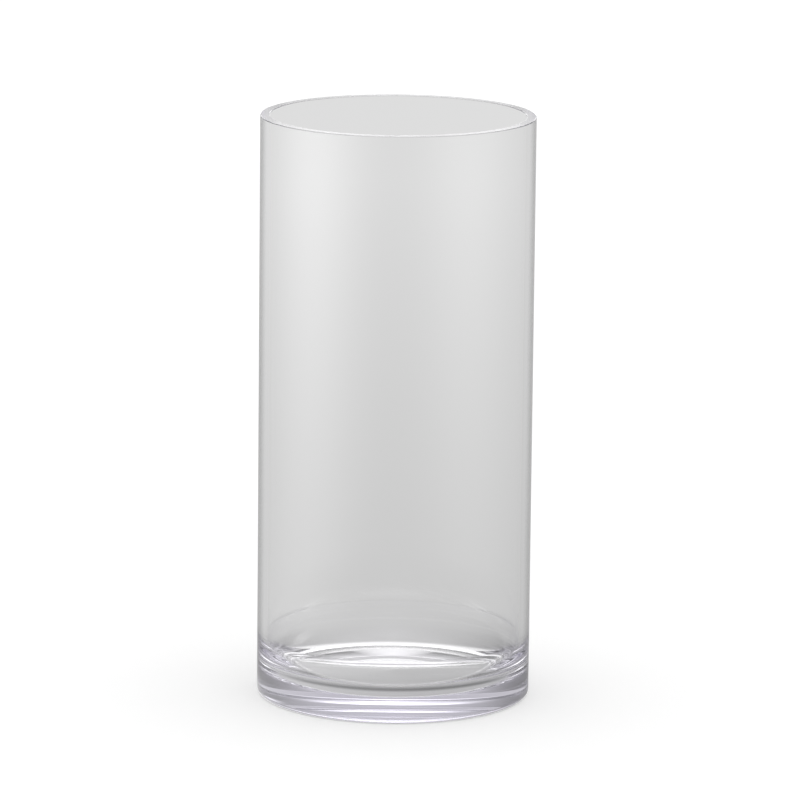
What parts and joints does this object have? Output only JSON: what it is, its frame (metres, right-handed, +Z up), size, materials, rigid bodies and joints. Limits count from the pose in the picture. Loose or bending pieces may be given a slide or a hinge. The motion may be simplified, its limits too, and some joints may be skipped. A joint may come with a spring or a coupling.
{
  "type": "cylinder vase",
  "caption": "Tall clear glass cylinder vase with a thick base and a wide open mouth, for standing cut flowers in water.",
  "frame": {"origin": "on the vase's axis, in the plane that the foot ring stands on", "axes": "+Z up along the vase's axis, towards the mouth; X and Y are any two level directions, because the vase is round"},
  "size_m": [0.14, 0.14, 0.3],
  "materials": {
    "wall_glass": "clear and smooth, with a flat, polished lip",
    "base_glass": "clear and smooth, with a faint lilac cast where it is thick, and a ground foot ring",
    "adhesive": "clear cured adhesive"
  },
  "bodies": {
    "root": {"wall_tube": "wall_glass", "base_cup": "base_glass", "bond_film": "adhesive"}
  },
  "joints": []
}
